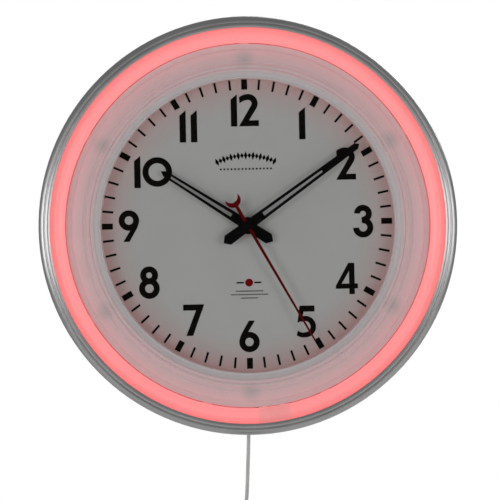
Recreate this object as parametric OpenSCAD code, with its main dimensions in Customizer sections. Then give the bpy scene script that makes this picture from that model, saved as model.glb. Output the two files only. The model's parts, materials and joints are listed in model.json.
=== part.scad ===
// Round wall clock with a lit glass ring round its dial, a one-cell quartz movement and a wall adapter.
// The wall is the plane y = 0, the front faces -Y, +Z is up, and the origin is the hanging hole.
// Most modules are drawn in the clock's own frame, with its centre at the origin and z as the depth
// from the wall, and on_clock() sets them in place.

/* [Case] */
// Outside diameter of the bezel
case_d = 381; // [379:1:384]
// Depth from the wall to the crown of the bezel
case_depth = 66; // [65:0.5:68]
// Height of the hanging hole above the centre of the clock
hang_drop = 118; // [100:1:130]
// Thickness of the rear case's back plate
back_wall = 2.5; // [2:0.5:3]
// Radius of the hanging hole, for the head of a wall screw
hang_r = 4.5; // [4:0.25:5]
// Width of the slot above the hanging hole, for the shank of a wall screw
hang_slot_w = 4.5; // [4:0.25:5]

/* [Lit ring] */
// Radius of the lit ring's centreline
tube_ring_r = 173.6; // [173:0.1:174]
// Outside diameter of the glass tube
tube_d = 14; // [12:0.5:14]
// Wall thickness of the glass tube
tube_wall = 1.2; // [0.8:0.1:1.6]
// Bearing of the tube's turned-back ends, clockwise from 12 o'clock
tube_gap_bearing = 173; // [170:1:176]

/* [Dial] */
// Height of an hour numeral
numeral_h = 28.8; // [27:0.1:30]
// Stroke width of a numeral
stroke = 5.5; // [4.5:0.1:5.8]
// How far the print sits off the arbor, sideways and up
print_shift = [-0.7, 1.7]; // [-2:0.1:3]
// Outer radius of the minute track
track_r = 133.3; // [131:0.1:133.5]
// Length of a minute mark
mark_len = 10; // [8:0.1:11]

/* [Hands at rest] */
// Bearing of the hour hand, clockwise from 12
hour_bearing = 303.2; // [0:0.1:360]
// Bearing of the minute hand, clockwise from 12
minute_bearing = 54.9; // [0:0.1:360]
// Bearing of the second hand, clockwise from 12
second_bearing = 150.8; // [0:0.1:360]

/* [Cord] */
// Diameter of the cord
cord_d = 3.5; // [3:0.1:3.5]

/* [Hidden] */
$fn = 96;
eps = 0.01;

// Fits between a shaft and its hole
run_gap = 0.06;

// Radii, from the case's own
case_r = case_d / 2;
bezel_wall = 2.3;
bezel_in_r = case_r - bezel_wall;
pan_r = bezel_in_r - 0.3;
pan_wall = 2.2;
pan_in_r = pan_r - pan_wall;
lip_in_r = case_r - 10.9;
flank_bend_r = 13.3;
outer_bead_r = 2;
outer_bead_at = [case_r - 5.3, case_depth - 3];
inner_bead_r = 2.4;
inner_bead_at = [case_r - 8.9, case_depth - 2.4];
screw_ring_r = pan_in_r - 4.7;
trim_bearings = [30, 90, 150, 210, 270, 330];
case_bearings = [0, 60, 120, 180, 240, 300];
trim_screw_r = 152.7;

// Depths from the wall
carrier_z = 34;
carrier_t = 2;
dial_z = carrier_z + carrier_t;
dial_t = 0.8;
face_z = dial_z + dial_t;
one_w = 5.8;
ink_t = 0.15;
tube_z = 51.5;
lip_z = case_depth - 3.6;
bezel_rear_z = 22.8;
flat_top_z = 20;
flat_y = -180;
step_t = 2.5;
tube_r = tube_d / 2;

// Lit tube: its gap, its turned-back ends and the clips that cradle it
tube_gap_angle = 180 - tube_gap_bearing;
leg_off = 8.4;
bend_r = 7.8;
gap_half = gap_half_angle(20);
tube_end_z = 26;
tube_leg = tube_z - bend_r - tube_end_z;
boot_z = 23.5;
clip_bearings = [30, 90, 150, 210, 256, 294];
cover_half = 5;
cover_gap = 0.2;
cover_wall = 0.4;

// Access well behind the movement, and the movement's own box
well_in = 64;
well_wall = 2.2;
move_w = 56;
move_back_z = 17.5;
move_front_z = 33.6;
shell_wall = 1.2;
plate_t = 1.5;
cover_t = 1.6;
cell_r = 7.1;
cell_y = -19.2;
cell_z = 24.75;
bay_top_y = -11.6;

// Movement axes, and the depth of each layer of wheels
wheel_t = 0.8;
hour_layer_z = 30.6;
motion_layer_z = 28.9;
centre_layer_z = 26.4;
third_layer_z = 24.6;
second_layer_z = 22.8;
fast_layer_z = 21;
mid_plate_z = 27.6;
plate_posts = [[-20, -6], [-20, 17], [23.5, -6.5], [23.5, 20]];
mid_plate_t = 0.8;
arbor_r = 0.6;
minute_tube_r = 1.5;
hour_tube_r = 2.5;
bushing_r = 4;
train_m = 0.3;
fast_m = 0.36;
third_m = 10.8 * 2 / 68;
motion_m = 0.5;
third_bearing = 135;
inter_bearing = 20;
rotor_bearing = 60;
minute_wheel_bearing = 0;
knob_bearing = -10.5;
third_at = polar(train_m * (8 + 64) / 2, third_bearing);
inter_at = polar(fast_m * (10 + 50) / 2, inter_bearing);
rotor_at = inter_at + polar(train_m * (8 + 48) / 2, rotor_bearing);
minute_wheel_at = polar(motion_m * (10 + 30) / 2, minute_wheel_bearing);
knob_at = minute_wheel_at + polar(motion_m * (12 + 30) / 2, knob_bearing);
third_phase = mesh_phase(8, 0, third_bearing, 60);
centre_phase = mesh_phase(8, third_phase, third_bearing + 180, 64);
inter_phase = mesh_phase(50, 0, inter_bearing, 10);
rotor_phase = mesh_phase(48, inter_phase, rotor_bearing, 8);
minute_wheel_phase = mesh_phase(10, 0, minute_wheel_bearing, 30);
hour_phase = mesh_phase(8, minute_wheel_phase, minute_wheel_bearing + 180, 32);
knob_phase = mesh_phase(30, minute_wheel_phase, knob_bearing, 12);

// Hands: depth and thickness
hand_t = 0.8;
hour_hand_z = 42.6;
minute_hand_z = 45.4;
second_hand_z = 48.2;
second_hand_t = 0.5;
hub_r = 7.9;

// Terminal panel at the bottom of the rear case
gland_at = [-3.3, 11];
switch_at = [30, 11];
rocker_tilt = 9;
rocker_pivot_y = -176;

// Free cord, in the whole clock's frame: its drop to the coil, the coil, and its tail to the adapter
coil_centre = [2, -14, -406];
coil_mid_r = 20.2;
coil_lift = 5.8;
cord_drop_route = [
    [-3.3, -11, -308], [-3.4, -11, -315], [-3.7, -10.8, -323], [-4.1, -10.6, -332],
    [-4.6, -10.1, -341], [-5, -9.7, -350], [-5.5, -9.3, -359], [-6, -8.9, -367],
    [-6.7, -8.6, -374], [-8.2, -8.4, -379], [-10.8, -8.3, -383], [-14.7, -8.2, -386.1]
];
cord_tail_route = [
    [-17.9, -19.8, -422.7], [-14.4, -19.7, -427.1], [-11.4, -19.4, -432],
    [-9.2, -18.9, -438], [-8.2, -18.3, -444], [-8, -18, -450], [-8, -18, -456]
];
adapter_top = [-8, -18, -456];
adapter_size = [42, 28, 56];

function polar(r, a) = [r * cos(a), r * sin(a)];
function arc(c, r, a0, a1, n = 12) = [for (i = [0:n]) c + polar(r, a0 + (a1 - a0) * i / n)];
function mesh_phase(n_a, phase_a, bearing, n_b) =
    bearing + 180 - (180 - n_a * (bearing - phase_a)) / n_b;
function unit(v) = v / norm(v);
// Half the tube's gap: its ends' bends stand leg_off from the middle of the gap
function gap_half_angle(n) =
    n == 0 ? 5 : asin((leg_off + bend_r * cos(gap_half_angle(n - 1))) / tube_ring_r);
function boot_point(s) =
    concat(polar(norm([leg_off, tube_ring_r]), tube_gap_angle - 90 + s * atan(leg_off / tube_ring_r)),
           boot_z);
function heading(p, i) = unit(p[min(i + 1, len(p) - 1)] - p[max(i - 1, 0)]);

module on_clock() translate([0, 0, -hang_drop]) rotate([90, 0, 0]) children();

module at_bearing(r, a) translate([r * cos(a), r * sin(a), 0]) children();

module ring(r_out, r_in, z, h) translate([0, 0, z]) difference() {
    cylinder(r = r_out, h = h);
    translate([0, 0, -1]) cylinder(r = r_in, h = h + 2);
}

// A box with four rounded upright edges, centred on x and y
module round_box(w, d, h, r) {
    cube_at(w - 2 * r, d, h);
    cube_at(w, d - 2 * r, h);
    for (x = [-1, 1], y = [-1, 1]) translate([x * (w / 2 - r), y * (d / 2 - r), 0]) cylinder(r = r, h = h);
}

module cube_at(w, d, h) translate([-w / 2, -d / 2, 0]) cube([w, d, h]);

// A round tube of a few flat sides along a list of points
module tube_along(p, r, side = [0, 1, 0], sides = 8) {
    last = len(p) - 1;
    points = [
        for (i = [0:last])
            let (t = heading(p, i), u = unit(cross(t, side)), v = cross(t, u))
            for (k = [0:sides - 1]) p[i] + r * (u * cos(360 * k / sides) + v * sin(360 * k / sides))
    ];
    skin = [
        for (i = [0:last - 1], k = [0:sides - 1])
            let (a = i * sides + k, b = i * sides + (k + 1) % sides)
            each [[a, a + sides, b + sides], [a, b + sides, b]]
    ];
    near_end = [for (k = [1:sides - 2]) [0, k, k + 1]];
    far_end = [for (k = [1:sides - 2]) [last * sides, last * sides + k + 1, last * sides + k]];
    polyhedron(points, concat(skin, near_end, far_end));
}

// ---- Case ----

module bezel_profile() polygon(concat(
    [[bezel_in_r, bezel_rear_z], [case_r - 0.8, bezel_rear_z], [case_r, bezel_rear_z + 0.8]],
    arc(outer_bead_at - polar(flank_bend_r - outer_bead_r, 45), flank_bend_r, 0, 45, 12),
    arc(outer_bead_at, outer_bead_r, 50, 132, 10),
    arc(inner_bead_at, inner_bead_r, 22, 146, 16),
    [[lip_in_r, lip_z], [bezel_in_r, lip_z]]
));

module bezel() color("silver") on_clock() {
    rotate_extrude() bezel_profile();
    for (a = case_bearings) rotate(a) difference() {
        translate([screw_ring_r - 4.2, -5, dial_z + 0.1]) cube([case_r - screw_ring_r + 3, 10, 4.4]);
        translate([screw_ring_r, 0, dial_z - 1]) cylinder(r = 1.7, h = 4.4);
    }
}

module lens() color([0.85, 0.92, 0.95, 0.25]) on_clock()
    translate([0, 0, lip_z - 3.1]) cylinder(r = case_r - 4.5, h = 2.5);

module lens_gasket() color("dimgray") on_clock()
    ring(case_r - 4.5, lip_in_r + 0.9, lip_z - 0.6, 0.6);

module lens_retainer() color("whitesmoke") on_clock()
    ring(bezel_in_r - 0.05, case_r - 9, lip_z - 6.2, 3.1);

// The rear case's outline: a circle with a flat along its bottom for the terminals
module pan_solid(r, flat, z, h) intersection() {
    translate([0, 0, z]) cylinder(r = r, h = h);
    translate([-case_r, flat, z - 1]) cube([case_d, case_d, h + 2]);
}

module keyhole() {
    translate([0, hang_drop, -1]) cylinder(r = hang_r, h = back_wall + 2);
    translate([-hang_slot_w / 2, hang_drop, -1]) cube([hang_slot_w, 11, back_wall + 2]);
    translate([0, hang_drop + 11, -1]) cylinder(r = hang_slot_w / 2, h = back_wall + 2);
}

module rear_case() color("whitesmoke") on_clock() difference() {
    union() {
        difference() {
            union() {
                pan_solid(pan_r, flat_y, 0, flat_top_z + eps);
                translate([0, 0, flat_top_z]) cylinder(r = pan_r, h = carrier_z - flat_top_z);
            }
            pan_solid(pan_in_r, flat_y + pan_wall, back_wall, flat_top_z + step_t - back_wall);
            translate([0, 0, flat_top_z + step_t]) cylinder(r = pan_in_r, h = carrier_z);
        }
        for (a = case_bearings) at_bearing(screw_ring_r, a) cylinder(r = 5.4, h = carrier_z);
        round_box(well_in + 2 * well_wall, well_in + 2 * well_wall, carrier_z - 0.5, 6);
        for (r = [90, 138]) ring(r, r - 1.6, back_wall - eps, 2.2);
    }
    for (a = case_bearings) at_bearing(screw_ring_r, a) {
        translate([0, 0, -1]) cylinder(r = 3.9, h = 31);
        translate([0, 0, 29]) cylinder(r = 1.9, h = carrier_z);
    }
    translate([0, 0, -1]) round_box(well_in, well_in, carrier_z + 2, 4);
    keyhole();
    translate([gland_at[0], flat_y + pan_wall + 1, gland_at[1]]) rotate([90, 0, 0]) cylinder(r = 3.2, h = 6);
    translate([switch_at[0] - 9.5, flat_y - 1, switch_at[1] - 6]) cube([19, pan_wall + 2, 12]);
}

module case_screws() color("silver") on_clock() for (a = case_bearings) at_bearing(screw_ring_r, a)
    difference() {
        union() {
            translate([0, 0, 27.4]) cylinder(r = 3.4, h = 2.6);
            translate([0, 0, 29.9]) cylinder(r = 1.5, h = 9);
        }
        translate([0, 0, 27]) cube_at(4.2, 0.9, 1.6);
        translate([0, 0, 27]) cube_at(0.9, 4.2, 1.6);
    }

// ---- Dial, trim ring and lit ring ----

// Both turned-back ends of the tube, as a flat shape grown to radius r
module leg_pair(r) rotate(tube_gap_angle) {
    for (s = [-1, 1]) translate([s * leg_off, -tube_ring_r]) circle(r = r);
    translate([-leg_off, -tube_ring_r - r]) square([2 * leg_off, 2 * r]);
}

module dial_carrier() color("white") on_clock() difference() {
    union() {
        translate([0, 0, carrier_z]) cylinder(r = pan_r, h = carrier_t);
        ring(163, 161, dial_z - eps, 3.2);
    }
    translate([0, 0, carrier_z - 1]) cylinder(r = bushing_r + 0.15, h = carrier_t + 2);
    for (a = trim_bearings) at_bearing(trim_screw_r, a)
        translate([0, 0, carrier_z - 1]) cylinder(r = 1.4, h = carrier_t + 2);
    for (a = case_bearings) at_bearing(screw_ring_r, a)
        translate([0, 0, carrier_z - 1]) cylinder(r = 1.9, h = carrier_t + 2);
    for (a = clip_bearings) at_bearing(tube_ring_r, a)
        translate([0, 0, carrier_z - 1]) cylinder(r = 1.55, h = carrier_t + 2);
    translate([0, 0, carrier_z - 1]) linear_extrude(carrier_t + 2) leg_pair(tube_r + 1.4);
}

module dial_disc() color([0.9, 0.9, 0.89]) on_clock() ring(142, bushing_r + 0.15, dial_z, dial_t);

module on_dial() on_clock() translate([print_shift[0], print_shift[1], face_z]) children();

module ink() linear_extrude(ink_t) children();

// A stretch of a round stroke
module bow(c, r, a0, a1) ink() polygon(concat(arc(c, r, a0, a1, 24), arc(c, r - stroke, a1, a0, 24)));

module bar(x, y, w) translate([x, y, 0]) cube([w, stroke, ink_t]);

// Digits stand on y = 0 with their left side on x = 0, and their round parts overshoot a little
module one() ink() polygon([[0, 0], [one_w, 0], [one_w, numeral_h + 0.7], [0, numeral_h - 4.1]]);

module two() {
    mid = [8.7, numeral_h - 8];
    ink() polygon(concat(
        arc(mid - [0, 4.1], 12.9, 130, 90, 8), arc(mid, 8.8, 88, -31, 16),
        [[9.3, stroke - 0.2], [18.3, stroke - 0.2], [18.3, 0], [0, 0]],
        arc(mid, 8.8 - stroke, -32, 88, 12), arc(mid - [0, 7.8], 16.6 - stroke, 90, 134, 8)
    ));
}

module three() {
    bow([9.4, numeral_h - 7.4], 8.2, -100, 177);
    bow([9.4, 8.8], 9.3, -178, 100);
}

module four() difference() {
    ink() polygon([
        [0, 5.2], [0, 7.8], [11.8, numeral_h], [17.4, numeral_h], [17.4, 9.8], [20.3, 9.8],
        [20.3, 5.2], [17.4, 5.2], [17.4, 0], [12.4, 0], [12.4, 5.2]
    ]);
    translate([0, 0, -1]) linear_extrude(2) polygon([[5.4, 9.8], [12.4, 9.8], [12.4, 21.4]]);
}

module five() {
    mid = [8, 9.7];
    bar(3.1, numeral_h - stroke + 0.2, 13.7);
    ink() polygon([
        [3.1, numeral_h], [6.8, numeral_h - stroke + 0.3], [5.7, 18.9], [6.2, 16], [1.9, 13.6], [1, 13.7]
    ]);
    ink() polygon(concat(
        arc(mid, 9.9, 108, -98, 24), arc([6.5, 11.4], 11.6, -91, -124, 8),
        arc([6.6, 12], 7.8, -134, -92, 8), arc(mid - [0.3, 0], 5.2, -94, 132, 20)
    ));
}

// Round loops, each given as its middle and outer radius
module loops(list) difference() {
    for (l = list) translate([l[0], l[1], 0]) cylinder(r = l[2], h = ink_t);
    for (l = list) translate([l[0], l[1], -1]) cylinder(r = l[2] - stroke, h = 2);
}

module six() {
    loops([[9.5, 9.2, 9.4]]);
    ink() polygon([[0.6, 12.4], [1.9, 16], [9.3, numeral_h], [14.9, numeral_h], [8.3, 18.2], [5.5, 13.5]]);
}

module seven() {
    bar(0, numeral_h - stroke, 18);
    ink() polygon([
        [0, numeral_h], [19.2, numeral_h], [19.2, numeral_h - 0.7], [8.7, 0], [2.5, 0],
        [11.8, numeral_h - stroke]
    ]);
}

module eight() loops([[9.6, numeral_h - 7.4, 8.2], [9.6, 9.2, 9.5]]);

module zero() loops([[13.4, numeral_h / 2, 13.6]]);

// Sets a numeral of width w with its middle at the hour's place
module at_hour(h, r, w) translate(polar(r, 90 - 30 * h) - [w / 2, numeral_h / 2]) children();

module hour_numerals() color("black") on_dial() {
    at_hour(12, 104, 25.6) {
        one();
        translate([7.3, 0]) two();
    }
    at_hour(1, 105, one_w) one();
    at_hour(2, 106.1, 18.3) two();
    at_hour(3, 106.6, 18.7) three();
    at_hour(4, 104.6, 20.5) four();
    at_hour(5, 105, 18) five();
    at_hour(6, 103.5, 19) six();
    at_hour(7, 101.1, 19.6) seven();
    at_hour(8, 105, 19.2) eight();
    at_hour(9, 108.5, 19) translate([19, numeral_h]) rotate(180) six();
    at_hour(10, 98.5, 34.8) {
        one();
        translate([7.8, 0]) zero();
    }
    at_hour(11, 104.2, 16.1) {
        one();
        translate([10.3, 0]) one();
    }
}

module minute_track() color("black") on_dial() ink() for (i = [0:59]) rotate(-6 * i)
    translate([i % 5 == 0 ? -2.7 : -1, track_r - mark_len]) square([i % 5 == 0 ? 5.4 : 2, mark_len]);

module lozenge(w, h) polygon([[-w / 2, 0], [0, -h / 2], [w / 2, 0], [0, h / 2]]);

// Plain ornament: an arched frieze of lozenges with a dashed rule under it, and dashed rules low on the dial
module dial_ornament() color("black") on_dial() ink() {
    for (i = [-8:8]) rotate(-3.1 * i) translate([0, 62.8]) lozenge(3.3, i % 2 == 0 ? 7.6 : 5);
    for (i = [-7:7]) translate([i * 3.3 - 0.8, 49.6]) square([1.6, 1.6]);
    for (s = [-1, 1]) translate([0.6 + s * 8.1 - 3.3, -54.8]) square([6.6, 1.4]);
    for (i = [-5:5]) translate([1 + i * 2.3 - 0.75, -62.4]) square([1.5, 1.1]);
    for (i = [-7:7]) translate([1 + i * 2.3 - 0.75, -65.6]) square([1.5, 1.1]);
    for (i = [-3:3]) translate([1 + i * 2.3 - 0.75, -68.8]) square([1.5, 1.1]);
}

module dial_dot() color("darkred") on_dial() ink() translate([0.8, -54.1]) circle(r = 3.6);

module diffuser_profile() polygon(concat(
    [[165.9, 45.6], [165.9, 49.9], [165.4, 50.3], [161.3, 50], [160.7, 51.2], [160.1, 51.5]],
    [[150.9, 52.9], [150.6, 52.4], [150.2, 52.4], [149.9, 52.9], [147.8, 53]],
    arc([145.8, 52.6], 1.9, 20, 165, 10),
    arc([142.1, 52.4], 1.9, 15, 172, 10),
    [[140.1, 52.3], [136.5, 50.9]],
    arc([135.35, 50.6], 0.95, 30, 180, 8),
    [[134.4, face_z + 0.3], [136.2, face_z + 0.3], [136.2, 48.9], [140.2, 50.4], [150.5, 50.7]],
    [[159.6, 49.2], [160.4, 47.9], [164.2, 47.9], [164.2, 45.6]]
));

module diffuser_ring() color([0.93, 0.85, 0.86]) on_clock() {
    rotate_extrude() diffuser_profile();
    for (a = trim_bearings) at_bearing(trim_screw_r, a) difference() {
        translate([0, 0, dial_z]) cylinder(r = 4, h = 15);
        translate([0, 0, dial_z - 1]) cylinder(r = 1.3, h = 11);
    }
}

module ring_screws() color("silver") on_clock() for (a = trim_bearings) at_bearing(trim_screw_r, a) {
    translate([0, 0, 31.8]) cylinder(r = 3, h = carrier_z - 31.8);
    translate([0, 0, carrier_z - eps]) cylinder(r = 1.25, h = 10);
}

// The tube's shape at radius r: an open ring whose ends turn back through the carrier
module tube_solid(r, leg) rotate(tube_gap_angle) {
    translate([0, 0, tube_z]) rotate(gap_half - 90) rotate_extrude(angle = 360 - 2 * gap_half)
        translate([tube_ring_r, 0]) circle(r = r);
    for (s = [0, 1]) mirror([s, 0, 0])
        translate([tube_ring_r * sin(gap_half), -tube_ring_r * cos(gap_half), tube_z])
            rotate(180 + gap_half) {
                translate([0, 0, -bend_r]) rotate([0, -90, -90]) rotate_extrude(angle = 90)
                    translate([bend_r, 0]) circle(r = r);
                translate([bend_r, 0, -bend_r - leg]) cylinder(r = r, h = leg + eps);
            }
}

module neon_tube() color([1, 0.6, 0.62]) on_clock() difference() {
    tube_solid(tube_r, tube_leg);
    tube_solid(tube_r - tube_wall, tube_leg - 2);
}

// A translucent saddle that snaps over the tube's two bends and closes the gap between them
module join_cover() color([0.95, 0.6, 0.63]) on_clock() translate([0, 0, tube_z])
    rotate(tube_gap_angle - 90 - cover_half) difference() {
        rotate_extrude(angle = 2 * cover_half) translate([tube_ring_r, 0])
            circle(r = tube_r + cover_gap + cover_wall);
        rotate([0, 0, -1]) rotate_extrude(angle = 2 * cover_half + 2) translate([tube_ring_r, 0])
            circle(r = tube_r + cover_gap);
        translate([0, 0, -11.5]) linear_extrude(10) square(4 * tube_ring_r, center = true);
    }

module tube_clips() color("white") on_clock() for (a = clip_bearings) rotate(a) {
    difference() {
        translate([tube_ring_r - 7.6, -4, dial_z]) cube([15.2, 8, tube_z - dial_z - 4]);
        translate([0, 0, tube_z]) rotate(-5) rotate_extrude(angle = 10)
            translate([tube_ring_r, 0]) circle(r = tube_r + 0.1);
    }
    translate([tube_ring_r, 0, carrier_z - 1.4]) cylinder(r = 1.5, h = carrier_t + 1.5);
}

module tube_grommet() color("dimgray") on_clock() difference() {
    union() {
        translate([0, 0, carrier_z - 1.4]) linear_extrude(carrier_t + 2.6) leg_pair(tube_r + 1.35);
        translate([0, 0, carrier_z - 1.4]) linear_extrude(1.4) leg_pair(tube_r + 2.8);
        translate([0, 0, dial_z]) linear_extrude(1.2) leg_pair(tube_r + 2.8);
    }
    translate([0, 0, carrier_z - 3]) rotate(tube_gap_angle) for (s = [-1, 1])
        translate([s * leg_off, -tube_ring_r, 0]) cylinder(r = tube_r + 0.05, h = 9);
}

module tube_end_boots() color("ivory") on_clock() rotate(tube_gap_angle) for (s = [-1, 1])
    translate([s * leg_off, -tube_ring_r, boot_z]) difference() {
        cylinder(r = tube_r + 1, h = 7.5);
        translate([0, 0, tube_end_z - boot_z]) cylinder(r = tube_r + 0.05, h = 9);
    }

// ---- Electrics ----

module driver_case() color("black") on_clock() translate([-40, -146, 5]) {
    difference() {
        round_box(56, 34, 20, 2);
        translate([0, 0, 18.8]) round_box(50, 28, 2, 1.5);
    }
    for (x = [-31, 31]) translate([x, 0, 0]) difference() {
        cube_at(8, 12, 2);
        translate([0, 0, -1]) cylinder(r = 1.7, h = 4);
    }
    for (x = [-31, 31]) translate([x, 0, back_wall - 5]) ring(3, 1.6, 0, 2.5);
}

module hv_leads() color("ivory") on_clock() {
    tube_along([boot_point(-1), boot_point(-1) - [0, 0, 4], [9, -170, 16], [2, -162, 15],
                [-4, -155, 16], [-12, -152, 17]], 1.3, [0.3, 1, 0]);
    tube_along([boot_point(1), boot_point(1) - [0, 0, 3], [28, -163, 18], [20, -153, 19],
                [6, -146, 19], [-4, -143, 19], [-12, -142, 19]], 1.3, [0.3, 1, 0]);
}

module supply_leads() color("white") on_clock() {
    tube_along([[-3.3, -172.5, 11], [-3.3, -167, 11], [-5, -161, 11], [-8.5, -157.5, 11], [-12, -157, 11]],
               1.2, [0, 0, 1]);
    tube_along([[25, -163.5, 11], [24.5, -158, 10.5], [18, -151, 10], [6, -148, 10], [-4, -149, 10.5],
                [-12, -150, 11]], 1, [0, 0, 1]);
    tube_along([[35, -163.5, 11], [34.5, -156, 9], [24, -147, 8], [8, -142, 8], [-4, -141, 9],
                [-12, -141, 10]], 1, [0, 0, 1]);
}

module cord_gland() color("whitesmoke") on_clock() translate([gland_at[0], flat_y, gland_at[1]])
    rotate([90, 0, 0]) rotate_extrude() polygon([
        [0, -7.5], [3.2, -7.5], [5, -pan_wall - 1.6], [5, -pan_wall], [3.15, -pan_wall], [3.15, 0],
        [4.6, 0], [4.6, 1.4], [3.6, 1.6], [3.3, 3], [3.5, 3.6], [3.1, 5], [3.3, 5.6], [2.8, 7.2], [3, 7.8],
        [2.4, 10], [0, 10]
    ]);

module switch_housing() color([0.12, 0.12, 0.12]) on_clock() translate([switch_at[0], 0, switch_at[1]])
    difference() {
        union() {
            translate([-10.6, flat_y - 1.6, -7.2]) cube([21.2, 1.6, 14.4]);
            translate([-9.4, flat_y - eps, -5.9]) cube([18.8, 14, 11.8]);
            for (x = [-5, 5]) translate([x - 1.6, flat_y + 13.9, -0.4]) cube([3.2, 2.6, 0.8]);
        }
        translate([-8.4, flat_y - 2, -4.8]) cube([16.8, 11, 9.6]);
        translate([0, rocker_pivot_y, -5.6]) cylinder(r = 1 + run_gap, h = 11.2);
    }

module switch_rocker() color([0.15, 0.15, 0.15]) on_clock()
    translate([switch_at[0], rocker_pivot_y, switch_at[1]]) rotate(180 - rocker_tilt) {
        translate([0, 0, -4.6]) linear_extrude(9.2) polygon(concat(
            [[-7.2, 1], [-7.3, 7.4], [-6.6, 7.7]],
            arc([0, 21.2], 14.8, 244, 296, 8),
            [[6.6, 7.7], [7.3, 7.4], [7.2, 1], [2, -3], [-2, -3]]
        ));
        translate([0, 0, -5.5]) cylinder(r = 1, h = 11);
    }

// ---- Movement ----

// A wheel's outline, with thin short teeth so that it runs with its mate at a fixed spacing
function tooth(n, m, a) = let (root = m * (n / 2 - 0.95), tip = m * (n / 2 + 0.62), pitch = 360 / n) [
    polar(root, a - 0.24 * pitch), polar(m * n / 2, a - 0.17 * pitch), polar(tip, a - 0.07 * pitch),
    polar(tip, a + 0.07 * pitch), polar(m * n / 2, a + 0.17 * pitch), polar(root, a + 0.24 * pitch)
];

module gear(n, m, phase, z, h) translate([0, 0, z]) linear_extrude(h)
    polygon([for (i = [0:n - 1]) each tooth(n, m, phase + i * 360 / n)]);

// Five round windows in a wheel's web
module windows(r, hole_r, phase, z) for (i = [0:4]) rotate(phase + 72 * i)
    translate([r, 0, z - 1]) cylinder(r = hole_r, h = wheel_t + 2);

// Pivot holes for the arbors, sunk from z with depth h
module pivot_holes(z, h) for (c = [[0, 0], third_at, inter_at, rotor_at])
    translate([c[0], c[1], z]) cylinder(r = arbor_r + run_gap, h = h);

module movement_shell() color([0.15, 0.15, 0.16]) on_clock() difference() {
    union() {
        difference() {
            translate([0, 0, move_back_z + cover_t])
                round_box(move_w, move_w, move_front_z - move_back_z - cover_t, 3);
            translate([0, 0, move_back_z]) round_box(move_w - 2 * shell_wall, move_w - 2 * shell_wall,
                                                     move_front_z - plate_t - move_back_z, 2);
        }
        translate([-move_w / 2 + 1, bay_top_y, move_back_z + cover_t])
            cube([move_w - 2, 1.2, move_front_z - move_back_z - cover_t - 1]);
        for (p = plate_posts) translate([p[0], p[1], mid_plate_z + mid_plate_t]) cylinder(r = 1.6, h = 4.4);
        translate([minute_wheel_at[0], minute_wheel_at[1], mid_plate_z + 1.2]) cylinder(r = 0.8, h = 4.4);
        translate([0, 0, move_front_z - eps]) cylinder(r = bushing_r, h = 7.6);
    }
    translate([0, 0, move_front_z - 3]) cylinder(r = hour_tube_r + run_gap, h = 12);
}

module movement_plate() color([0.85, 0.72, 0.4]) on_clock() difference() {
    translate([-22, -8.5, mid_plate_z]) cube([47.5, 31, mid_plate_t]);
    translate([-23, 10, mid_plate_z - 1]) cube([1.6, 14, 3]);
    translate([-2, 17.6, mid_plate_z - 1]) cube([24, 6, 3]);
    translate([0, 0, mid_plate_z - 1]) cylinder(r = minute_tube_r + run_gap, h = 3);
    translate([knob_at[0], knob_at[1], mid_plate_z - 1]) cylinder(r = 1 + run_gap, h = 3);
    for (c = [third_at, inter_at, rotor_at]) translate([c[0], c[1], mid_plate_z - 1])
        cylinder(r = arbor_r + run_gap, h = 3);
}

module movement_cover() color([0.18, 0.18, 0.19]) on_clock() difference() {
    union() {
        translate([0, 0, move_back_z]) round_box(move_w, move_w, cover_t, 3);
        for (c = [[0, 0], third_at, inter_at, rotor_at]) translate([c[0], c[1], move_back_z + cover_t - eps])
            cylinder(r = 1.5, h = 0.6);
    }
    translate([-move_w / 2 + 1.6, -move_w / 2 + 1.4, move_back_z - 1])
        cube([move_w - 3.2, bay_top_y + move_w / 2 - 1.6, 6]);
    translate([0, 0, move_back_z + 0.7]) pivot_holes(0, 4);
    translate([knob_at[0], knob_at[1], move_back_z - 1]) cylinder(r = 1.5 + run_gap, h = 4);
}

module circuit_board() color([0.1, 0.35, 0.2]) on_clock() {
    translate([-26, -9, move_back_z + cover_t + 0.5]) cube([9, 35, 1]);
    translate([-22, 12, move_back_z + cover_t + 1.4]) cylinder(r = 2.6, h = 1.2);
    translate([-24.5, -2, move_back_z + cover_t + 1.4]) cube([5, 5, 1]);
}

module quartz_crystal() color("silver") on_clock()
    translate([-19.5, 18, move_back_z + cover_t + 2.5]) rotate([-90, 0, 0]) cylinder(r = 1, h = 6.2);

module coil() color([0.72, 0.42, 0.2]) on_clock() translate([8.3, 22.5, 25.1]) rotate([0, 90, 0])
    difference() {
        union() {
            cylinder(r = 4, h = 0.8);
            translate([0, 0, 0.8]) cylinder(r = 3.6, h = 9.4);
            translate([0, 0, 10.2]) cylinder(r = 4, h = 0.8);
        }
        translate([-0.65, -1.65, -1]) cube([1.3, 3.3, 14]);
    }

module stator() color("silver") on_clock() translate([0, 0, 24.6]) difference() {
    translate([5.5, 6.8, 0]) cube([16.5, 17.3, 1]);
    translate([8.2, 15.2, -1]) cube([11.2, 5.75, 3]);
    translate([8.2, 24.05, -1]) cube([11.2, 1, 3]);
    translate([rotor_at[0], rotor_at[1], -1]) cylinder(r = 3.1, h = 3);
}

module arbor(z) translate([0, 0, z]) cylinder(r = arbor_r, h = mid_plate_z + mid_plate_t - 0.1 - z);

module rotor() color([0.3, 0.3, 0.32]) on_clock() translate([rotor_at[0], rotor_at[1], 0]) {
    arbor(18.3);
    gear(8, train_m, rotor_phase, fast_layer_z - 0.1, 1);
    translate([0, 0, 23.4]) cylinder(r = 2.6, h = 3.2);
}

module intermediate_wheel() color("ivory") on_clock() translate([inter_at[0], inter_at[1], 0]) {
    arbor(18.3);
    difference() {
        gear(48, train_m, inter_phase, fast_layer_z, wheel_t);
        windows(4.4, 1.4, inter_phase, fast_layer_z);
    }
    gear(10, fast_m, inter_phase, fast_layer_z + wheel_t - eps, second_layer_z + wheel_t - fast_layer_z);
}

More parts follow.
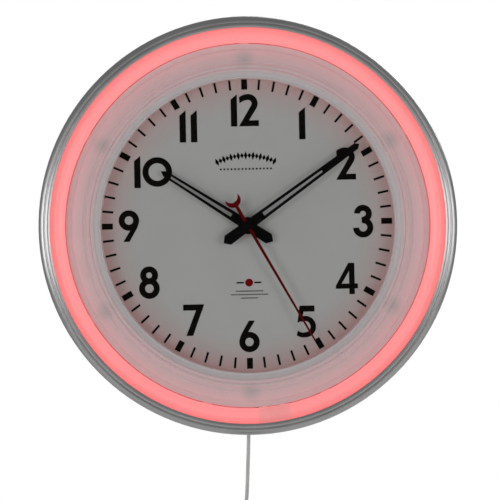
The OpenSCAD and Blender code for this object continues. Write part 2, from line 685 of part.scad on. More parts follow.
module second_wheel() color("ivory") on_clock() {
    translate([0, 0, 18.3]) cylinder(r = arbor_r, h = second_hand_z + second_hand_t - 18.3);
    difference() {
        gear(50, fast_m, 0, second_layer_z, wheel_t);
        windows(5.4, 1.8, 0, second_layer_z);
    }
    gear(8, third_m, 0, second_layer_z + wheel_t - eps, third_layer_z + wheel_t - second_layer_z - 0.7);
}

module third_wheel() color("ivory") on_clock() translate([third_at[0], third_at[1], 0]) {
    arbor(18.3);
    difference() {
        gear(60, third_m, third_phase, third_layer_z, wheel_t);
        windows(5.6, 1.9, third_phase, third_layer_z);
    }
    gear(8, train_m, third_phase, third_layer_z + wheel_t - eps, centre_layer_z + 0.15 - third_layer_z);
}

module centre_wheel() color("ivory") on_clock() difference() {
    union() {
        gear(64, train_m, centre_phase, centre_layer_z, wheel_t);
        translate([0, 0, centre_layer_z - 0.15]) cylinder(r = 2, h = 0.2);
    }
    windows(5.8, 1.9, centre_phase, centre_layer_z);
    translate([0, 0, centre_layer_z - 1]) cylinder(r = arbor_r + run_gap, h = 3);
}

module cannon_pinion() color("goldenrod") on_clock() difference() {
    union() {
        translate([0, 0, centre_layer_z + wheel_t + 0.1])
            cylinder(r = minute_tube_r, h = minute_hand_z + hand_t - centre_layer_z - wheel_t - 0.1);
        gear(10, motion_m, 0, motion_layer_z, 0.9);
    }
    translate([0, 0, centre_layer_z]) cylinder(r = arbor_r + run_gap, h = 30);
}

module minute_wheel() color("ivory") on_clock() translate([minute_wheel_at[0], minute_wheel_at[1], 0])
    difference() {
        union() {
            gear(30, motion_m, minute_wheel_phase, motion_layer_z, 0.9);
            gear(8, motion_m, minute_wheel_phase, motion_layer_z + 0.9 - eps,
                 hour_layer_z - motion_layer_z + 0.2);
        }
        translate([0, 0, motion_layer_z - 1]) cylinder(r = 0.8 + run_gap, h = 6);
    }

module hour_wheel() color("ivory") on_clock() difference() {
    union() {
        gear(32, motion_m, hour_phase, hour_layer_z, 0.9);
        translate([0, 0, hour_layer_z]) cylinder(r = hour_tube_r, h = hour_hand_z + hand_t - hour_layer_z);
    }
    translate([0, 0, hour_layer_z - 1]) cylinder(r = minute_tube_r + run_gap, h = 20);
}

module set_knob() color([0.2, 0.2, 0.2]) on_clock() translate([knob_at[0], knob_at[1], 0]) {
    translate([0, 0, 14]) difference() {
        cylinder(r = 4, h = 3.2);
        for (i = [0:23]) rotate(15 * i) translate([4.25, 0, -1]) cylinder(r = 0.45, h = 6);
    }
    translate([0, 0, 17.1]) cylinder(r = 1.5, h = 6);
    translate([0, 0, 23]) cylinder(r = 1, h = motion_layer_z + 0.9 - 23);
    gear(12, motion_m, knob_phase, motion_layer_z, 0.9);
}

module battery_contacts() color("silver") on_clock() for (s = [-1, 1]) {
    translate([s * 26.1 - 0.2, cell_y - 4, 19.4]) cube([0.4, 8, 11]);
    translate([s * 26.1 - 0.2, cell_y + 3.9, 21]) cube([0.4, 3.2, 4]);
    translate([s * 25.65 - 0.25, cell_y - 1.5, cell_z - 1.5]) cube([0.5, 3, 3]);
}

module aa_cell() color("goldenrod") on_clock() translate([-25.1, cell_y, cell_z]) rotate([0, 90, 0]) {
    cylinder(r = cell_r - 0.4, h = 0.4);
    translate([0, 0, 0.3]) cylinder(r = cell_r, h = 48.7);
    translate([0, 0, 49]) cylinder(r = 2.75, h = 1.2);
}

// ---- Hands ----

module bushing_washer() color("goldenrod") on_clock() ring(7, bushing_r + 0.1, face_z, 0.6);

module bushing_nut() color("goldenrod") on_clock() difference() {
    translate([0, 0, face_z + 0.6]) cylinder(r = 6.9, h = 2.4, $fn = 6);
    translate([0, 0, face_z]) cylinder(r = bushing_r + 0.02, h = 5);
}

module turned(bearing) on_clock() rotate(-bearing) children();

// A flat hand, tip up: a hub and the points of its right side from the tail to the tip, less its slot
module hand_blank(side, slot, hub, bore, t) difference() {
    union() {
        cylinder(r = hub, h = t);
        linear_extrude(t) polygon(concat(side, [for (i = [len(side) - 2:-1:1]) [-side[i][0], side[i][1]]]));
    }
    translate([0, 0, -1]) linear_extrude(t + 2) polygon(slot);
    translate([0, 0, -1]) cylinder(r = bore, h = t + 2);
}

function taper(w0, y0, w1, y1) = [[w0 / 2, y0], [w1 / 2, y1], [-w1 / 2, y1], [-w0 / 2, y0]];

module hour_hand() color("black") turned(hour_bearing) translate([0, 0, hour_hand_z]) hand_blank(
    [[0, -27.4], [5.1, -22.7], [4.8, 0], [4.5, 16], [2.95, 85], [2.9, 89.4], [0, 94]],
    taper(3.1, 17.6, 1.9, 83.2), hub_r, hour_tube_r + 0.02, hand_t);

module minute_hand() color("black") turned(minute_bearing) translate([0, 0, minute_hand_z]) hand_blank(
    [[0, -27.4], [5.1, -22.7], [4.7, 0], [4.4, 18], [3.05, 123], [0, 126.4]],
    taper(3.4, 17.7, 1.8, 84.3), hub_r, minute_tube_r + 0.02, hand_t);

// A crescent with its horns outward, on the second hand's tail
module crescent(t) difference() {
    translate([0, -26.9, 0]) cylinder(r = 7.1, h = t);
    translate([0, -30.8, -1]) cylinder(r = 6.2, h = t + 2);
}

module second_hand() color([0.4, 0.02, 0.03]) turned(second_bearing) translate([0, 0, second_hand_z])
    difference() {
        union() {
            cylinder(r = 4, h = second_hand_t);
            linear_extrude(second_hand_t) polygon(taper(3.2, -22, 1.6, 121.6));
            crescent(second_hand_t);
        }
        translate([0, 0, -1]) cylinder(r = arbor_r + 0.01, h = second_hand_t + 2);
    }

module second_hand_cap() color([0.08, 0.08, 0.08]) on_clock() translate([0, 0, second_hand_z + second_hand_t])
    rotate_extrude() polygon(concat([[0, 0], [4.3, 0]], arc([3.1, 1.2], 1.2, 0, 80, 6), [[0, 2.6]]));

// ---- Cord and adapter ----

module cord_drop() color("white") tube_along(cord_drop_route, cord_d / 2);

module cord_tail() color("white") tube_along(cord_tail_route, cord_d / 2);

module coil_section(grow) polygon([
    for (q = [0:3]) let (s = [[1, 1], [-1, 1], [-1, -1], [1, -1]][q])
        each arc([coil_mid_r + s[0] * coil_lift, s[1] * coil_lift], cord_d / 2 + grow, 90 * q, 90 * q + 90, 6)
]);

module on_coil() translate(coil_centre) rotate([90, 0, 0]) children();

module cord_coil() color("white") on_coil() rotate_extrude() coil_section(0);

module cord_tie() color("white") on_coil() rotate(90 - 12) rotate_extrude(angle = 24) difference() {
    coil_section(0.8);
    coil_section(0);
}

module adapter_body() color([0.1, 0.1, 0.1]) translate(adapter_top) {
    translate([0, 0, -9]) cylinder(r1 = 3.6, r2 = 2.5, h = 9);
    translate([0, 0, -9 - adapter_size[2]]) difference() {
        round_box(adapter_size[0], adapter_size[1], adapter_size[2] + eps, 5);
        for (x = [-6.35, 6.35]) translate([x, -adapter_size[1] / 2, 34]) cube([1.7, 8, 6.5], center = true);
    }
}

module adapter_blades() color("silver") translate(adapter_top) translate([0, -adapter_size[1] / 2, -31])
    for (x = [-6.35, 6.35]) difference() {
        translate([x - 0.75, -16.5, -3.1]) cube([1.5, 20, 6.2]);
        translate([x - 1, -13, 0]) rotate([0, 90, 0]) cylinder(r = 1.5, h = 2);
    }

bezel();
lens();
lens_gasket();
lens_retainer();
rear_case();
case_screws();
dial_carrier();
dial_disc();
hour_numerals();
minute_track();
dial_ornament();
dial_dot();
diffuser_ring();
ring_screws();
neon_tube();
join_cover();
tube_clips();
tube_grommet();
tube_end_boots();
driver_case();
hv_leads();
supply_leads();
cord_gland();
switch_housing();
switch_rocker();
movement_shell();
movement_plate();
movement_cover();
circuit_board();
quartz_crystal();
coil();
stator();
rotor();
intermediate_wheel();
second_wheel();
third_wheel();
centre_wheel();
cannon_pinion();
minute_wheel();
hour_wheel();
set_knob();
battery_contacts();
aa_cell();
bushing_washer();
bushing_nut();
hour_hand();
minute_hand();
second_hand();
second_hand_cap();
cord_drop();
cord_coil();
cord_tail();
cord_tie();
adapter_body();
adapter_blades();
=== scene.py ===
"""Looks for a round wall clock with a lit glass ring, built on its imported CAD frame.

The clock hangs on the plane y = 0 with its dial facing -Y. Lengths are in metres, and names that end in
_MM hold millimetres.
"""

import json
import math

import bmesh
import bpy
from mathutils import Matrix, Vector


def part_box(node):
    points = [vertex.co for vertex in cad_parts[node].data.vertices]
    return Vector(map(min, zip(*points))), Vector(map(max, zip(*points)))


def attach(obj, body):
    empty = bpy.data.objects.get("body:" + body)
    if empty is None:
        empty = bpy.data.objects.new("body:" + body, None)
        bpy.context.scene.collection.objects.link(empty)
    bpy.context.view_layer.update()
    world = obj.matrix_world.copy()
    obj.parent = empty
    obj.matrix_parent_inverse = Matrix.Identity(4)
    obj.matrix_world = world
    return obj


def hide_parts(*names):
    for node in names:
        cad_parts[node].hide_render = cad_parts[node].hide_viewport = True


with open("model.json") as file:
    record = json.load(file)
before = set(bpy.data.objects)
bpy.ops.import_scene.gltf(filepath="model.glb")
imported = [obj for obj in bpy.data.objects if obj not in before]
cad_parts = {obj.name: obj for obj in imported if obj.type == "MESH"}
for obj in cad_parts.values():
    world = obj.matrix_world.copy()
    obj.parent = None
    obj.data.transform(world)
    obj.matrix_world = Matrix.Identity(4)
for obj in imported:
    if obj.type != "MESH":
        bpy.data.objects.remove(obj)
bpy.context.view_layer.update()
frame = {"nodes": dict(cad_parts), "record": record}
NODES = frame["nodes"]
MM = 0.001

BEZEL_LOW, BEZEL_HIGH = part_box("bezel")
CENTRE = Vector(((BEZEL_LOW.x + BEZEL_HIGH.x) / 2, 0, (BEZEL_LOW.z + BEZEL_HIGH.z) / 2))
FRONT_Y = BEZEL_LOW.y


# ---- Camera ----

CAMERA_DISTANCE = 1.85
SENSOR_WIDTH_MM = 36
VIEW_WIDTH = 0.45235  # what the picture takes in across the front of the bezel
CAMERA_SHIFT = Vector((0.00195, -0.0221))  # from the clock's middle to the picture's, across and up
CAMERA_ROLL = math.radians(1.2)


def add_camera():
    data = bpy.data.cameras.new("camera")
    data.sensor_width = SENSOR_WIDTH_MM
    data.lens = SENSOR_WIDTH_MM * CAMERA_DISTANCE / VIEW_WIDTH
    camera = bpy.data.objects.new("camera", data)
    bpy.context.scene.collection.objects.link(camera)
    data.shift_x, data.shift_y = CAMERA_SHIFT / VIEW_WIDTH
    camera.location = (CENTRE.x, FRONT_Y - CAMERA_DISTANCE, CENTRE.z)
    camera.rotation_euler = (math.pi / 2, CAMERA_ROLL, 0)
    bpy.context.scene.camera = camera


add_camera()


# ---- Cord ----

CORD_D = 3.5 * MM
CORD_SIDES = 12
CUTS_PER_STEP = 2
COIL_CENTRE_MM = (2, -406)  # x, z
COIL_FROM_DEG, COIL_TO_DEG = 130, 4900
COIL_STEP_DEG = 20
COIL_LAYERS = 4
LAYER_SHIFT_DEG = 130  # the turn over which the winding steps from one layer to the next
COIL_Y_MM = (-8.2, -19.8)  # the first layer's and the last one's
COIL_R_MM = (26.0, 14.4)  # outer and inner
DROP_ROUTE_MM = [  # from the gland down to the coil
    (-3.3, -11, -308), (-3.4, -11, -315), (-3.7, -10.8, -323), (-4.1, -10.6, -332),
    (-4.6, -10.1, -341), (-5, -9.7, -350), (-5.5, -9.3, -359), (-6, -8.9, -367),
    (-6.7, -8.6, -374), (-8.2, -8.4, -379), (-10.8, -8.3, -383),
]
TAIL_ROUTE_MM = [  # from the coil down to the adapter
    (-14.4, -19.7, -427.1), (-11.4, -19.4, -432), (-9.2, -18.9, -438),
    (-8.2, -18.3, -444), (-8, -18, -450), (-8, -18, -456),
]


def smooth(t):
    t = min(max(t, 0), 1)
    return t * t * (3 - 2 * t)


def coil_point(angle):
    """A point of the winding: flat spirals, one behind the other, that run in and out by turns."""
    span = (COIL_TO_DEG - COIL_FROM_DEG) / COIL_LAYERS
    along = (angle - COIL_FROM_DEG) / span
    layer = min(int(along), COIL_LAYERS - 1)
    inward = along - layer if layer % 2 == 0 else 1 - (along - layer)
    radius = COIL_R_MM[0] + (COIL_R_MM[1] - COIL_R_MM[0]) * inward
    shift = LAYER_SHIFT_DEG / span
    steps_taken = sum(smooth((along - i + shift / 2) / shift) for i in range(1, COIL_LAYERS))
    depth = steps_taken / (COIL_LAYERS - 1)
    a = math.radians(angle)
    return (
        COIL_CENTRE_MM[0] + radius * math.cos(a),
        COIL_Y_MM[0] + (COIL_Y_MM[1] - COIL_Y_MM[0]) * depth,
        COIL_CENTRE_MM[1] + radius * math.sin(a),
    )


def cord_route():
    turns = [coil_point(a) for a in range(COIL_FROM_DEG, COIL_TO_DEG, COIL_STEP_DEG)]
    turns.append(coil_point(COIL_TO_DEG))
    return [Vector(p) * MM for p in DROP_ROUTE_MM + turns + TAIL_ROUTE_MM]


def smoothed(points, cuts):
    """Extra points between the given ones, on a curve that passes through them all."""
    out = []
    for i in range(len(points) - 1):
        p0, p1, p2 = points[max(i - 1, 0)], points[i], points[i + 1]
        p3 = points[min(i + 2, len(points) - 1)]
        for k in range(cuts):
            t = k / cuts
            out.append(0.5 * (
                2 * p1 + (p2 - p0) * t + (2 * p0 - 5 * p1 + 4 * p2 - p3) * t ** 2
                + (3 * p1 - p0 - 3 * p2 + p3) * t ** 3
            ))
    return out + [points[-1]]


def swept(name, points, radius, sides):
    """A round rod along the points, with flat ends."""
    mesh = bpy.data.meshes.new(name)
    work = bmesh.new()
    across = None
    rings = []
    for i, point in enumerate(points):
        along = (points[min(i + 1, len(points) - 1)] - points[max(i - 1, 0)]).normalized()
        across = along.orthogonal() if across is None else across - along * across.dot(along)
        across.normalize()
        turned = [Matrix.Rotation(2 * math.pi * k / sides, 3, along) for k in range(sides)]
        rings.append([work.verts.new(point + turn @ across * radius) for turn in turned])
    for one, two in zip(rings, rings[1:]):
        for k in range(sides):
            face = work.faces.new((one[k - 1], one[k], two[k], two[k - 1]))
            face.smooth = True
    work.faces.new(rings[0])
    work.faces.new(reversed(rings[-1]))
    bmesh.ops.recalc_face_normals(work, faces=work.faces)
    work.to_mesh(mesh)
    work.free()
    rod = bpy.data.objects.new(name, mesh)
    bpy.context.scene.collection.objects.link(rod)
    return rod


def add_cord():
    points = smoothed(cord_route(), CUTS_PER_STEP)
    lead = swept("lead", points, CORD_D / 2, CORD_SIDES)
    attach(lead, "root")
    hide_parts("cord_drop", "cord_coil", "cord_tail")
    return lead


lead = add_cord()


# ---- Materials ----

class Shader:
    """A material made of one Principled shader and the nodes that feed it."""

    def __init__(self, name, colour, roughness, metallic=0.0, **sockets):
        self.material = bpy.data.materials.new(name)
        self.material.use_nodes = True
        self.tree = self.material.node_tree
        self.principled = self.tree.nodes["Principled BSDF"]
        self.set("Base Color", (*colour, 1))
        self.set("Roughness", roughness)
        self.set("Metallic", metallic)
        for socket, value in sockets.items():
            self.set(socket.replace("_", " "), value)
        self.where = self.node("ShaderNodeTexCoord").outputs["Object"]
        self.normal = None

    def set(self, socket, value):
        self.principled.inputs[socket].default_value = value

    def node(self, kind, inputs=(), **settings):
        made = self.tree.nodes.new(kind)
        for key, value in settings.items():
            setattr(made, key, value)
        for key, value in dict(inputs).items():
            if isinstance(value, bpy.types.NodeSocket):
                self.tree.links.new(value, made.inputs[key])
            else:
                made.inputs[key].default_value = value
        return made

    def link(self, output, socket):
        self.tree.links.new(output, self.principled.inputs[socket])

    def noise(self, scale, detail, where=None):
        fields = {"Vector": where or self.where, "Scale": scale, "Detail": detail, "Roughness": 0.55}
        return self.node("ShaderNodeTexNoise", fields).outputs["Fac"]

    def maths(self, operation, a, b=0.0):
        return self.node("ShaderNodeMath", {0: a, 1: b}, operation=operation).outputs[0]

    def spread(self, value, low, high, from_low=0.3, from_high=0.7):
        """Stretches a value from its own range, which is a noise's unless given, to low and high."""
        ends = {"From Min": from_low, "From Max": from_high, "To Min": low, "To Max": high}
        return self.node("ShaderNodeMapRange", {"Value": value, **ends}).outputs["Result"]

    def mix(self, share, a, b):
        mixer = self.node("ShaderNodeMix", data_type="RGBA")
        for socket, value in ((mixer.inputs[0], share), (mixer.inputs[6], a), (mixer.inputs[7], b)):
            if isinstance(value, bpy.types.NodeSocket):
                self.tree.links.new(value, socket)
            elif isinstance(value, tuple):
                socket.default_value = (*value[:3], 1)
            else:
                socket.default_value = value
        return mixer.outputs[2]

    def ramp(self, value, stops, interpolation="LINEAR"):
        made = self.node("ShaderNodeValToRGB", {"Fac": value})
        made.color_ramp.interpolation = interpolation
        points = made.color_ramp.elements
        while len(points) < len(stops):
            points.new(0.5)
        for point, (place, colour) in zip(points, stops):
            point.position = place
            point.color = (*colour, 1) if isinstance(colour, tuple) else (colour, colour, colour, 1)
        return made.outputs["Color"]

    def bump(self, height, depth, strength):
        fields = {"Height": height, "Distance": depth, "Strength": strength}
        if self.normal is not None:
            fields["Normal"] = self.normal
        self.normal = self.node("ShaderNodeBump", fields).outputs["Normal"]
        self.link(self.normal, "Normal")

    def cloud(self, one, other, scale, detail):
        """Lets the base colour drift between two colours."""
        self.link(self.mix(self.spread(self.noise(scale, detail), 0, 1), one, other), "Base Color")

    def sheen(self, low, high, scale, detail):
        """Lets the roughness wander between two values."""
        self.link(self.spread(self.noise(scale, detail), low, high), "Roughness")

    def grain(self, depth, strength, scale, detail):
        self.bump(self.noise(scale, detail), depth, strength)

    def polar(self, centre):
        """Radius, direction as a share of a turn and depth, about a line along y through centre (x, z)."""
        split = self.node("ShaderNodeSeparateXYZ", {0: self.where})
        x = self.maths("SUBTRACT", split.outputs["X"], centre[0])
        z = self.maths("SUBTRACT", split.outputs["Z"], centre[1])
        squares = self.maths("ADD", self.maths("MULTIPLY", x, x), self.maths("MULTIPLY", z, z))
        turn = self.maths("DIVIDE", self.maths("ARCTAN2", x, z), 2 * math.pi)
        return self.maths("SQRT", squares), turn, split.outputs["Y"]


def darker(colour, share):
    return tuple(c * share for c in colour)


def moulded(name, colour, roughness=0.45, mottle=0.06):
    """Injection-moulded plastic: an even fine grain, faint flow clouds and uneven sheen."""
    s = Shader(name, colour, roughness)
    s.cloud(darker(colour, 1 - mottle), colour, scale=45, detail=4)
    s.sheen(roughness - 0.07, roughness + 0.09, scale=300, detail=5)
    s.grain(depth=0.02 * MM, strength=0.5, scale=2600, detail=2)
    return s.material


SCRATCH_STRETCH = (60, 4000, 4000)  # long along x, fine across it


def drawn_metal(name, colour, roughness=0.32):
    """Sheet or turned metal: fine scratches along one way, and patches that are a little duller."""
    s = Shader(name, colour, roughness, metallic=1.0)
    fields = {"Vector": s.where, "Scale": SCRATCH_STRETCH}
    stretched = s.node("ShaderNodeMapping", fields).outputs["Vector"]
    scratches = s.noise(scale=1.0, detail=3, where=stretched)
    s.cloud(darker(colour, 0.82), colour, scale=260, detail=4)
    s.link(s.spread(scratches, roughness - 0.1, roughness + 0.14), "Roughness")
    s.bump(scratches, depth=0.006 * MM, strength=0.6)
    return s.material


def lacquer(name, colour, roughness=0.5):
    """Stamped metal under satin paint: slight orange peel and dust nibs."""
    s = Shader(name, colour, roughness, Specular_IOR_Level=0.05)
    s.cloud(darker(colour, 0.86), colour, scale=160, detail=3)
    s.sheen(roughness - 0.06, roughness + 0.12, scale=900, detail=4)
    s.grain(depth=0.012 * MM, strength=0.5, scale=1800, detail=2)
    return s.material


def printed(name, colour):
    """Screen-printed ink: dense, with a faintly uneven film."""
    s = Shader(name, colour, 0.75, Specular_IOR_Level=0.04)
    thin_spots = tuple(c * 1.5 + 0.001 for c in colour)
    s.cloud(thin_spots, colour, scale=1400, detail=4)
    s.sheen(0.65, 0.85, scale=500, detail=3)
    s.grain(depth=0.01 * MM, strength=0.4, scale=3000, detail=2)
    return s.material


CLOCK = (CENTRE.x, CENTRE.z)
BEZEL_COLOUR = (0.70, 0.705, 0.70)
SPIN_LINES = 3600  # lines for each metre across the metal
SPIN_WAVER = 5  # changes along a line, for each turn


def bezel_metal():
    """Spun metal with a satin plating: close circular lines that waver, and faint handling marks."""
    s = Shader("bezel_chrome", BEZEL_COLOUR, 0.32, metallic=1.0)
    radius, turn, depth = s.polar(CLOCK)
    round_the_clock = s.node("ShaderNodeCombineXYZ", {
        "X": s.maths("MULTIPLY", radius, SPIN_LINES),
        "Y": s.maths("MULTIPLY", turn, SPIN_WAVER),
        "Z": s.maths("MULTIPLY", depth, SPIN_LINES),
    }).outputs[0]
    lines = s.noise(scale=1.0, detail=3, where=round_the_clock)
    smears = s.noise(scale=28, detail=5)
    s.link(s.mix(s.spread(smears, 0, 1), darker(BEZEL_COLOUR, 0.93), BEZEL_COLOUR), "Base Color")
    smeared = s.spread(smears, -0.03, 0.04)
    s.link(s.maths("ADD", s.spread(lines, 0.29, 0.35), smeared), "Roughness")
    s.bump(lines, depth=0.003 * MM, strength=0.4)
    return s.material


RING_IN, RING_OUT = 134 * MM, 166 * MM
# Painted shade and pink glow on the dial near the lit ring: where they start, how late they rise and how
# strong the glow is
RIM_SHADE_FROM = 98 * MM
RIM_SHADE_RISE = 1.7  # how late the painted rim shade and glow come on: 1 is evenly
RIM_PAINTED_GLOW = 0.055


def dial_paint():
    """Matt white lacquer, with a painted pink shade and a painted pink glow near the lit ring that stands
    over its edge.
    """
    colour, rim_shade_colour = (0.70, 0.72, 0.70), (0.61, 0.48, 0.47)
    s = Shader("dial_white", colour, 0.65, Specular_IOR_Level=0.2)
    radius = s.polar(CLOCK)[0]
    waver = s.spread(s.noise(scale=14, detail=2), -1.5 * MM, 1.5 * MM)
    reach = s.spread(s.maths("ADD", radius, waver), 0, 1, RIM_SHADE_FROM, RING_IN)
    # painted shade and glow: towards the ring the base colour turns a darker pink and a faint pink light
    # is given off
    rim_shade_and_glow = s.maths("POWER", reach, RIM_SHADE_RISE)
    s.set("Emission Color", (1, 0.35, 0.33, 1))
    s.link(s.maths("MULTIPLY", rim_shade_and_glow, RIM_PAINTED_GLOW), "Emission Strength")
    clean = s.mix(s.spread(s.noise(scale=30, detail=5), 0, 1), darker(colour, 0.965), colour)
    s.link(s.mix(rim_shade_and_glow, clean, rim_shade_colour), "Base Color")
    s.sheen(0.58, 0.74, scale=700, detail=4)
    s.grain(depth=0.01 * MM, strength=0.5, scale=2200, detail=3)
    return s.material


FROST = (0.86, 0.86, 0.87)
FROST_SHADED = (0.5, 0.52, 0.52)
GLOW = (1.0, 0.06, 0.08)
GLOW_ACROSS = [  # share of the way out over the ring, and how strongly the painted glow shines there
    (0.0, 0.07), (0.03, 0.02), (0.17, 0.025), (0.25, 0.1), (0.31, 0.085), (0.42, 0.085), (0.5, 0.1),
    (0.62, 0.125), (0.79, 0.17), (0.815, 0.05), (0.85, 0.04), (0.88, 0.09), (0.93, 0.07), (1.0, 0.02),
]
BOSS_R = 151.6 * MM  # from the clock's middle
BOSSES = 6
BOSS_SHADE_R = 11 * MM
BOSS_SHADE, BOSS_DIMS_GLOW = 0.35, 0.7


def frosted_ring():
    """Milky plastic with a painted glow from the tube at its outer edge, and painted shadows where screw
    bosses stand behind it.
    """
    s = Shader("frosted_plastic", FROST, 0.36, Specular_IOR_Level=0.6)
    radius, turn, _ = s.polar(CLOCK)
    across = s.spread(radius, 0, 1, RING_IN, RING_OUT)
    pitch = 2 * math.pi * BOSS_R / BOSSES
    cell = s.maths("FRACT", s.maths("ADD", s.maths("MULTIPLY", turn, BOSSES), BOSSES + 0.5))
    sideways = s.maths("MULTIPLY", s.maths("SUBTRACT", cell, 0.5), pitch)
    outward = s.maths("SUBTRACT", radius, BOSS_R)
    squares = [s.maths("MULTIPLY", side, side) for side in (sideways, outward)]
    from_boss = s.maths("SQRT", s.maths("ADD", *squares))
    # painted shadow of each screw boss: darkest over the boss, fading out over BOSS_SHADE_R
    shade = s.spread(from_boss, 1, 0, 0, BOSS_SHADE_R)
    clouds = s.mix(s.spread(s.noise(scale=55, detail=5), 0, 1), darker(FROST, 0.96), FROST)
    s.link(s.mix(s.maths("MULTIPLY", shade, BOSS_SHADE), clouds, FROST_SHADED), "Base Color")
    s.sheen(0.31, 0.42, scale=600, detail=4)
    s.grain(depth=0.01 * MM, strength=0.4, scale=1500, detail=3)
    # painted glow: the ring gives off pink light across its width, dimmer in the bosses' painted shadows
    share = s.ramp(across, GLOW_ACROSS)
    kept = s.maths("SUBTRACT", 1.0, s.maths("MULTIPLY", shade, BOSS_DIMS_GLOW))
    s.set("Emission Color", (*GLOW, 1))
    s.link(s.maths("MULTIPLY", share, kept), "Emission Strength")
    return s.material


TUBE_LIGHT = (1.0, 0.185, 0.19)
TUBE_STRENGTH = 1.03


def lit_tube():
    """Glass tube lined with a glowing coating, with a faintly uneven discharge."""
    s = Shader(
        "lit_tube", (0.32, 0.27, 0.27), 0.42, Specular_IOR_Level=1.0, Coat_Weight=1.0, Coat_Roughness=0.4,
    )
    s.sheen(0.38, 0.46, scale=220, detail=3)
    s.grain(depth=0.01 * MM, strength=0.3, scale=300, detail=2)
    s.set("Emission Color", (*TUBE_LIGHT, 1))
    flicker = s.spread(s.noise(scale=40, detail=3), 0.98 * TUBE_STRENGTH, 1.02 * TUBE_STRENGTH)
    s.link(flicker, "Emission Strength")
    return s.material


def join_cover():
    """Translucent saddle over the join of the tube, with a painted glow that is duller than the tube's own
    light.
    """
    colour = (0.42, 0.38, 0.38)
    s = Shader("join_pink", colour, 0.5, Specular_IOR_Level=0.4)
    s.cloud(darker(colour, 0.9), colour, scale=400, detail=4)
    s.sheen(0.44, 0.58, scale=500, detail=3)
    s.grain(depth=0.02 * MM, strength=0.4, scale=900, detail=2)
    # painted glow: the saddle gives off pink light as though the tube shone through it
    s.set("Emission Color", (1.0, 0.23, 0.23, 1))
    s.link(s.spread(s.noise(scale=60, detail=2), 0.66, 0.72), "Emission Strength")
    return s.material


MIRROR_FACE_ON, MIRROR_EDGE_ON = 0.004, 0.5


def clear_glass():
    """Flat clear glass with a trace of dust: a weak mirror, stronger at a slant."""
    s = Shader("lens_glass", (0.95, 0.97, 0.98), 0.03, metallic=1.0)
    slant = s.node("ShaderNodeLayerWeight", {"Blend": 0.5}).outputs["Facing"]
    s.link(s.spread(s.maths("POWER", slant, 3), MIRROR_FACE_ON, MIRROR_EDGE_ON, 0, 1), "Alpha")
    s.sheen(0.015, 0.07, scale=120, detail=5)
    s.grain(depth=0.02 * MM, strength=0.3, scale=9, detail=2)
    return s.material


def soft_rubber(name, colour):
    s = Shader(name, colour, 0.75)
    bloom = tuple(c * 1.15 for c in colour)
    s.cloud(darker(colour, 0.75), bloom, scale=350, detail=4)
    s.sheen(0.66, 0.86, scale=900, detail=3)
    s.grain(depth=0.03 * MM, strength=0.5, scale=1700, detail=3)
    return s.material


WIRE_PITCH = 0.12 * MM


def winding():
    """Enamelled copper wire laid side by side round the bobbin, which lies along x, with painted shade in
    the grooves between the wires.
    """
    colour = (0.62, 0.25, 0.08)
    s = Shader("copper_winding", colour, 0.28, metallic=0.9, Coat_Weight=0.5)
    split = s.node("ShaderNodeSeparateXYZ", {0: s.where})
    phase = s.maths("MULTIPLY", split.outputs["X"], 2 * math.pi / WIRE_PITCH)
    height = s.maths("ABSOLUTE", s.maths("SINE", phase))
    # painted shade: the colour darkens in the grooves between the wires
    s.link(s.mix(height, darker(colour, 0.35), colour), "Base Color")
    s.sheen(0.22, 0.38, scale=1500, detail=3)
    s.bump(height, depth=0.04 * MM, strength=0.8)
    return s.material


def circuit_green():
    """Solder mask over faint tracks."""
    colour, over_track = (0.02, 0.16, 0.07), (0.05, 0.26, 0.12)
    s = Shader("board_green", colour, 0.3, Coat_Weight=0.3)
    fields = {"Vector": s.where, "Scale": 260.0, "Mortar Size": 0.06}
    tracks = s.node("ShaderNodeTexBrick", fields).outputs["Fac"]
    s.link(s.mix(tracks, colour, over_track), "Base Color")
    s.sheen(0.24, 0.42, scale=800, detail=3)
    s.bump(tracks, depth=0.03 * MM, strength=0.4)
    return s.material


def cell_jacket():
    """Shrink sleeve of a dry cell lying along x: a dark body with a warm band at its positive end."""
    low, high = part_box("aa_cell")
    steel, dark, scuffed = (0.55, 0.55, 0.56), (0.012, 0.012, 0.014), (0.02, 0.02, 0.02)
    warm, line = (0.62, 0.33, 0.05), (0.7, 0.55, 0.25)
    s = Shader("cell_jacket", warm, 0.25, metallic=0.35, Coat_Weight=0.8, Coat_Roughness=0.12)
    split = s.node("ShaderNodeSeparateXYZ", {0: s.where})
    along = s.spread(split.outputs["X"], 0, 1, low.x, high.x)
    stops = [(0.0, steel), (0.012, dark), (0.66, warm), (0.672, line), (0.685, warm), (0.966, steel)]
    bands = s.ramp(along, stops, "CONSTANT")
    s.link(s.mix(s.spread(s.noise(scale=500, detail=4), 0, 0.3), bands, scuffed), "Base Color")
    s.sheen(0.18, 0.34, scale=700, detail=3)
    s.grain(depth=0.03 * MM, strength=0.4, scale=420, detail=3)
    return s.material


def vinyl(name, colour):
    """Soft vinyl lead: satin, with slight kinks in the sheath and patches of grime."""
    s = Shader(name, colour, 0.42, Coat_Weight=0.15, Coat_Roughness=0.3)
    s.cloud(darker(colour, 0.88), colour, scale=90, detail=5)
    s.sheen(0.34, 0.52, scale=500, detail=3)
    s.grain(depth=0.03 * MM, strength=0.5, scale=700, detail=3)
    return s.material


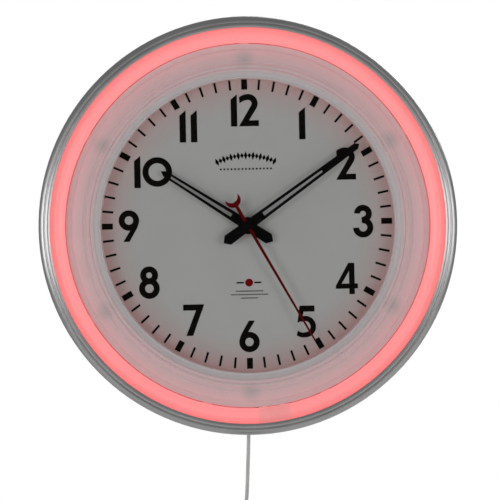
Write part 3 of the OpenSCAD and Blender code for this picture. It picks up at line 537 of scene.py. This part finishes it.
def make_finishes():
    return {
        "bezel_chrome": bezel_metal(),
        "lens_glass": clear_glass(),
        "seal_rubber": soft_rubber("seal_rubber", (0.03, 0.03, 0.031)),
        "case_plastic": moulded("case_plastic", (0.78, 0.78, 0.76)),
        "screw_steel": drawn_metal("screw_steel", (0.6, 0.6, 0.61)),
        "dial_white": dial_paint(),
        "print_black": printed("print_black", (0.003, 0.0025, 0.001)),
        "print_red": printed("print_red", (0.2, 0.002, 0.006)),
        "frosted_plastic": frosted_ring(),
        "lit_tube": lit_tube(),
        "join_pink": join_cover(),
        "black_plastic": moulded("black_plastic", (0.022, 0.022, 0.024), 0.42, mottle=0.2),
        "lead_white": vinyl("lead_white", (0.80, 0.80, 0.785)),
        "boot_silicone": soft_rubber("boot_silicone", (0.62, 0.6, 0.52)),
        "board_green": circuit_green(),
        "copper_winding": winding(),
        "soft_iron": drawn_metal("soft_iron", (0.42, 0.42, 0.44), 0.45),
        "magnet": moulded("magnet", (0.05, 0.05, 0.055), 0.5),
        "wheel_plastic": moulded("wheel_plastic", (0.76, 0.71, 0.56), 0.35),
        "brass": drawn_metal("brass", (0.80, 0.56, 0.22), 0.25),
        "hand_black": lacquer("hand_black", (0.0015, 0.0013, 0.0012)),
        "hand_red": lacquer("hand_red", (0.16, 0.0005, 0.001)),
        "cell_jacket": cell_jacket(),
        "tie_white": vinyl("tie_white", (0.7, 0.7, 0.68)),
    }


FINISHES = make_finishes()
for part in frame["record"]["subparts"]:
    piece = NODES[part["node"]]
    piece.data.materials.clear()
    piece.data.materials.append(FINISHES[part["material_slot"]])
lead.data.materials.append(FINISHES["lead_white"])


# ---- Room ----

FLOOR_CENTRE = (0, -0.2, -0.95)
FLOOR_SIZE = 5.5


def add_floor():
    bpy.ops.mesh.primitive_plane_add(size=FLOOR_SIZE, location=FLOOR_CENTRE)
    floor = bpy.context.object
    floor.name = "floor"
    s = Shader("floor", (0.86, 0.86, 0.85), 0.7)
    s.sheen(0.62, 0.78, scale=6, detail=4)
    floor.data.materials.append(s.material)


AIM = CENTRE + Vector((0, FRONT_Y, 0))
SOFTBOXES = [  # name, place, size, watts
    ("softbox_left", (-1.15, -1.6, CENTRE.z), (0.75, 0.6), 4.0),
    ("softbox_right", (1.15, -1.6, CENTRE.z), (0.75, 0.6), 3.4),
    ("side_left", (-1.75, -0.3, CENTRE.z), (0.9, 0.8), 5.5),
    ("side_right", (1.75, -0.3, CENTRE.z), (0.9, 0.8), 4.5),
    ("softbox_rear", (0.9, 2.0, 1.0), (1.6, 1.2), 16),
]


def add_softbox(name, place, size, power):
    data = bpy.data.lights.new(name, "AREA")
    data.shape = "RECTANGLE"
    data.size, data.size_y = size
    data.energy = power
    box = bpy.data.objects.new(name, data)
    bpy.context.scene.collection.objects.link(box)
    box.location = place
    box.rotation_euler = (AIM - Vector(place)).to_track_quat("-Z", "Y").to_euler()
    box.visible_camera = False


def add_world(seen, shining):
    """Plain white behind the clock, and a dimmer even light on it."""
    world = bpy.data.worlds.new("studio")
    world.use_nodes = True
    bpy.context.scene.world = world
    tree = world.node_tree
    tree.nodes.clear()
    path = tree.nodes.new("ShaderNodeLightPath")
    chosen = tree.nodes.new("ShaderNodeMix")
    tree.links.new(path.outputs["Is Camera Ray"], chosen.inputs[0])
    chosen.inputs[2].default_value = shining
    chosen.inputs[3].default_value = seen
    sky = tree.nodes.new("ShaderNodeBackground")
    sky.inputs["Color"].default_value = (1, 1, 1, 1)
    tree.links.new(chosen.outputs[0], sky.inputs["Strength"])
    out = tree.nodes.new("ShaderNodeOutputWorld")
    tree.links.new(sky.outputs[0], out.inputs["Surface"])


add_floor()
add_world(seen=1.0, shining=0.17)
for softbox in SOFTBOXES:
    add_softbox(*softbox)

bpy.context.scene.view_settings.view_transform = "Standard"
bpy.context.scene.view_settings.look = "None"


bpy.context.view_layer.update()
